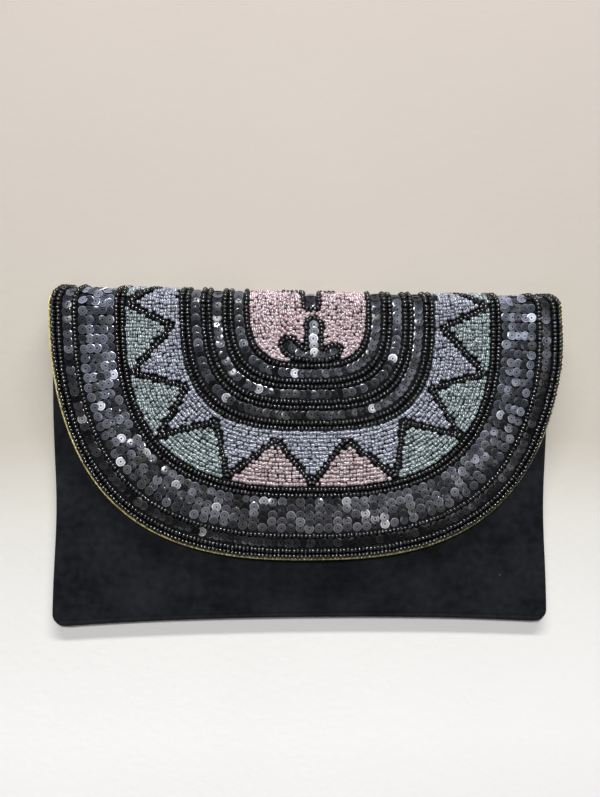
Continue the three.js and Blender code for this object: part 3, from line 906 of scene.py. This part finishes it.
def radial_band(inner, outer):
    """The wide band: lines of sequins from its inner to its outer edge, side by side round the flap."""
    step = (outer - inner - SEQUIN_WIDTH) / (BAND_PER_LINE - 1)
    middle, forward = spaced(ring_path((inner + outer) / 2), BAND_PITCH, trim=1.8)
    outward = np.stack([forward[:, 1], -forward[:, 0]], -1)
    shifts = (np.arange(BAND_PER_LINE) - (BAND_PER_LINE - 1) / 2) * step
    flat = middle[None] + shifts[:, None, None] * outward[None]
    flat[..., 1] = np.minimum(flat[..., 1], BEADING_END - SEQUIN_REACH)
    flat = flat.reshape(-1, 2)
    along = np.tile(outward, (BAND_PER_LINE, 1))
    sequins("sequins_band", "sequin_band", flat, along, -0.07, BAND_CENTRE, 0.135, SMOKE)


def zigzag_points(inner, outer):
    share = np.array([ZIGZAG_FOLD_SHARE] + [s for _, s in ZIGZAG_CORNERS])
    radius = inner + (outer - inner) * share
    right = [ring_points(r, a) for r, (a, _) in zip(radius[1:], ZIGZAG_CORNERS)]
    start_y = BEADING_END
    start = np.array([fold_half(radius[0], start_y), start_y])
    right = np.array([start] + right)
    return np.concatenate([right[:-1] * [-1, 1], right[::-1]])


def inside_of(points, polygon):
    """Which points lie in a closed polygon."""
    inside = np.zeros(len(points), bool)
    x, y = points[:, 0], points[:, 1]
    for (x1, y1), (x2, y2) in zip(polygon, np.roll(polygon, -1, axis=0)):
        crosses = (y1 > y) != (y2 > y)
        with np.errstate(divide="ignore", invalid="ignore"):
            at = x1 + (y - y1) * (x2 - x1) / (y2 - y1)
        inside ^= crosses & (x < at)
    return inside


def zigzag_beads(line):
    """The beads along the zigzag, with one more inside each corner."""
    flat, along = [], []
    for a, b in zip(line[:-1], line[1:]):
        point, direction = spaced(np.array([a, b]), BEAD_LENGTH)
        flat.append(point)
        along.append(direction)
    for before, corner, after in zip(line[:-2], line[1:-1], line[2:]):
        middle = unit(unit(before - corner) + unit(after - corner))
        flat.append([corner + middle * CORNER_INSET])
        along.append([middle])
    return np.concatenate(flat), np.concatenate(along)


def clear_of(points, black):
    """Which flat points are clear of the black beads and of the beadwork's end behind the fold."""
    nearest = np.min(np.sum((points[:, None] - black[None]) ** 2, axis=2), axis=1)
    return (nearest > BLACK_CLEARANCE**2) & (points[:, 1] < BEADING_END - FOLD_SETBACK)


def filled(candidates, direction, taken, clearance):
    """Takes each candidate in turn that stays clear of what lies there already on the bent flap."""
    chosen = []
    held = on_flap(taken, np.full(len(taken), BEAD_CENTRE))
    for i, point in enumerate(on_flap(candidates, np.full(len(candidates), BEAD_CENTRE))):
        if np.min(np.sum((held - point) ** 2, axis=1)) > clearance**2:
            held = np.concatenate([held, point[None]])
            chosen.append(i)
    return candidates[chosen], direction[chosen]


def pastel_rows(inner, outer, allowed):
    """Rows of beads along rings between two half widths, where they are allowed."""
    flat, along = [], []
    for radius in np.linspace(inner, outer, round((outer - inner) / LINED_ROW) + 1):
        path = ring_path(radius)
        point, direction = spaced(path, LINED_LENGTH, rng.uniform(0.3, 0.7))
        flat.append(point)
        along.append(direction)
    flat, along = np.concatenate(flat), np.concatenate(along)
    keep = allowed(flat)
    return flat[keep], along[keep]


def holes_between(flat, along, taken, allowed, box, tries, clearance=HOLE_CLEARANCE):
    """The rows, and single beads in the holes that they leave in a box."""
    spots = rng.uniform(*box, (tries, 2))
    spots = spots[allowed(spots)]
    turn = rng.uniform(0, math.pi, len(spots))
    direction = np.stack([np.cos(turn), np.sin(turn)], -1)
    more, more_along = filled(spots, direction, np.concatenate([taken, flat]), clearance)
    return np.concatenate([flat, more]), np.concatenate([along, more_along])


def cell_of(points):
    """Number, from the left, of the outer cell that a point of the zigzag field lies in."""
    down = -(points[:, 1] + FOLD_QUARTER) / DROP_SHARE
    angle = 180 - np.degrees(np.arctan2(down, points[:, 0]))
    angle = np.where(angle > 270, angle - 360, angle)
    corners = [a for a, _ in ZIGZAG_CORNERS[::2]]
    edges = corners + [180 - a for a in corners[-2::-1]]
    return 1 + np.sum(angle[:, None] > np.array(edges)[None], axis=1)


def add_zigzag_field(inner, outer):
    line = zigzag_points(inner, outer)
    black, black_along = zigzag_beads(line)
    places = bead_places(black, black_along)
    copies("zigzag_beads", BEAD, *places, BLACK, "black_beads", ["zigzag_line"])
    top = BEADING_END + 40
    polygon = np.concatenate([line, [[line[-1, 0], top], [line[0, 0], top]]])

    def allowed(points):
        between = (in_ring(points, outer - LINED_HALF) <= 1) & (in_ring(points, inner + LINED_HALF) >= 1)
        return between & clear_of(points, black)

    flat, along = pastel_rows(inner + LINED_SETBACK, outer - LINED_SETBACK, allowed)
    box = ((-outer, -FOLD_QUARTER - outer), (outer, BEADING_END))
    flat, along = holes_between(flat, along, black, allowed, box, tries=14000)
    inside = inside_of(flat, polygon)
    cells = cell_of(flat)
    groups = [("lavender_beads", "lavender_field", inside, LAVENDER, "lavender_beads")]
    for number in range(1, 11):
        color = "pink" if number in (5, 6) else "mint"
        mine = ~inside & (cells == number)
        made = PINK if color == "pink" else MINT
        groups.append((f"{color}_beads_{number}", f"{color}_cell_{number}", mine, made, f"{color}_beads"))
    for name, node, mine, made, slot in groups:
        places = lined_places(flat[mine], along[mine])
        copies(name, LINED_BEAD, *places, made, slot, [node])


# Line of the beads round the crescent on the medallion, as shares of the ornament's length right of the
# middle and below the fold line: from the foot of the stem round the left lobe to the right lobe.
CRESCENT_ROW = [
    (-0.03, 0.77),
    (-0.1, 0.73),
    (-0.18, 0.65),
    (-0.27, 0.575),
    (-0.38, 0.56),
    (-0.465, 0.62),
    (-0.47, 0.71),
    (-0.41, 0.81),
    (-0.3, 0.885),
    (-0.15, 0.925),
    (0.05, 0.94),
    (0.25, 0.935),
    (0.4, 0.905),
    (0.51, 0.85),
    (0.565, 0.77),
    (0.53, 0.7),
    (0.44, 0.67),
    (0.35, 0.71),
    (0.27, 0.77),
]
STEM = {"left": -0.035, "right": 0.23, "head": 0.2, "foot": 0.75}
CREST_LOOP = {"left": -0.08, "right": 0.2, "foot": 0.05}
CREST_BARS = {"left": -0.45, "right": 0.5, "up": 0.27}
MEDALLION_CLEARANCE = 0.4


def smooth_line(points, per_span=8):
    """A smooth open line through points."""
    points = np.array(points, float)
    points = np.concatenate([2 * points[:1] - points[1:2], points, 2 * points[-1:] - points[-2:-1]])
    t = (np.arange(per_span) / per_span)[:, None]
    spans = []
    for a, b, c, d in zip(points[:-3], points[1:-2], points[2:-1], points[3:]):
        bend = (2 * a - 5 * b + 4 * c - d) * t**2 + (3 * b - a - 3 * c + d) * t**3
        spans.append(0.5 * (2 * b + (c - a) * t + bend))
    return np.concatenate([*spans, points[-2:-1]])


def add_medallion(radius):
    """The pink field with its ornament: a sequinned stem in a crescent, and a loop at the crest."""
    length = radius - MEDALLION_CLEARANCE

    def placed(shares):
        return np.array(shares, float) * [length, -length] + [0, -FOLD_QUARTER]

    crescent = smooth_line(placed(CRESCENT_ROW))
    half = (STEM["right"] - STEM["left"]) / 2
    turn = np.linspace(0, math.pi, 11)
    centre = STEM["left"] + half
    arch = [(centre - half * math.cos(a), STEM["head"] + half - half * math.sin(a)) for a in turn]
    stem = placed([(STEM["left"], STEM["foot"]), *arch, (STEM["right"], STEM["foot"] + 0.02)])
    scroll_flat, scroll_along = joined_rows([crescent, stem])
    places = bead_places(scroll_flat, scroll_along)
    copies("scroll_beads", BEAD, *places, BLACK, "black_beads", ["scroll_ornament"])
    left, right, foot = CREST_LOOP["left"], CREST_LOOP["right"], CREST_LOOP["foot"]
    up = -CREST_BARS["up"]
    hook = [(left, up), (left, foot - 0.05), (left + 0.04, foot), (right - 0.04, foot), (right, foot - 0.05)]
    loop = placed([*hook, (right, up)])
    bars = [placed([(CREST_BARS["left"], up), (left, up)]), placed([(right, up), (CREST_BARS["right"], up)])]
    crest_flat, crest_along = joined_rows([loop, *bars])
    places = bead_places(crest_flat, crest_along)
    copies("crest_beads", BEAD, *places, BLACK, "black_beads", ["crest_ornament"])
    stem_line = placed([((STEM["left"] + STEM["right"]) / 2, y) for y in (0.33, 0.44, 0.56, 0.69, 0.81)])
    bowl = [(-0.36, 0.66), (-0.28, 0.74), (-0.15, 0.82), (0.0, 0.85), (0.2, 0.85), (0.34, 0.82), (0.45, 0.77)]
    bowl_line = placed(bowl)
    loop_line = placed([((left + right) / 2, y) for y in (-0.04, -0.13, -0.22)])
    add_ornament_sequins(stem_line, bowl_line, loop_line)
    black = np.concatenate([scroll_flat, crest_flat])
    filled_stem = placed([(STEM["left"], 0.9), *arch, (STEM["right"], 0.9)])
    loop_box = placed([(left, -0.5), (left, foot), (right, foot), (right, -0.5)])

    def allowed(points):
        room = in_ring(points, radius - LINED_HALF) <= 1
        covered = inside_of(points, crescent) | inside_of(points, filled_stem) | inside_of(points, loop_box)
        return room & ~covered & clear_of(points, black)

    flat, along = pastel_rows(1.4, radius - LINED_SETBACK, allowed)
    flat, along = filled(flat, along, black, HOLE_CLEARANCE)
    box = ((-radius, -FOLD_QUARTER - radius), (radius, BEADING_END))
    flat, along = holes_between(flat, along, black, allowed, box, tries=9000, clearance=1.25)
    places = lined_places(flat, along, askew=0.35, spread=0.18)
    copies("medallion_beads", LINED_BEAD, *places, ROSE, "pink_beads", ["medallion"])


def add_ornament_sequins(stem_line, bowl_line, loop_line):
    for name, node, line, material in (
        ("scroll_sequins", "scroll_ornament", bowl_line, DARK_SMOKE),
        ("stem_sequins", "scroll_ornament", stem_line, BRIGHT),
        ("crest_sequins", "crest_ornament", loop_line, DARK_SMOKE),
    ):
        along = unit(np.gradient(line, axis=0))
        sequins(name, node, line, along, -0.08, ORNAMENT_CENTRE, 0.08, material)


def add_beadwork():
    """The rings from the flap's edge inwards."""
    outer = RIM - EDGING_WIDTH

    def rows(name, node, count):
        nonlocal outer
        bead_rows(name, node, [outer - BEAD_ROW * (k + 0.5) for k in range(count)])
        outer -= BEAD_ROW * count

    def strip(name, node, pitch, up, material, to_fold=False):
        nonlocal outer
        sequin_strip(name, node, outer - STRIP_WIDTH / 2, pitch, up, material, to_fold)
        outer -= STRIP_WIDTH

    rows("seed_beads_rim", "bead_rows_rim", 2)
    strip("sequins_rim", "sequin_strip_rim", 3.9, -0.1, DARK_SMOKE, True)
    rows("seed_beads_single", "bead_row_single", 1)
    radial_band(outer - BAND_WIDTH, outer)
    outer -= BAND_WIDTH
    rows("seed_beads_outer", "bead_rows_outer", 2)
    add_zigzag_field(outer - ZIGZAG_WIDTH, outer)
    outer -= ZIGZAG_WIDTH
    rows("seed_beads_inner", "bead_rows_inner", 2)
    strip("sequins_outer", "sequin_strip_outer", 3.4, -0.12, DARK_SMOKE)
    rows("seed_beads_third", "bead_rows_third", 2)
    strip("sequins_middle", "sequin_strip_middle", 3.4, 0.12, DARK_SMOKE)
    rows("seed_beads_second", "bead_rows_second", 2)
    strip("sequins_inner", "sequin_strip_inner", 3.4, -0.12, DARK_SMOKE)
    rows("seed_beads_medallion", "bead_row_medallion", 1)
    add_medallion(outer)


add_camera()
add_stage()
add_pouch()
add_flap()
add_edging()
add_beadwork()
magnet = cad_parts["magnetic_snap"]
magnet.data.materials.clear()
magnet.data.materials.append(snap_material())
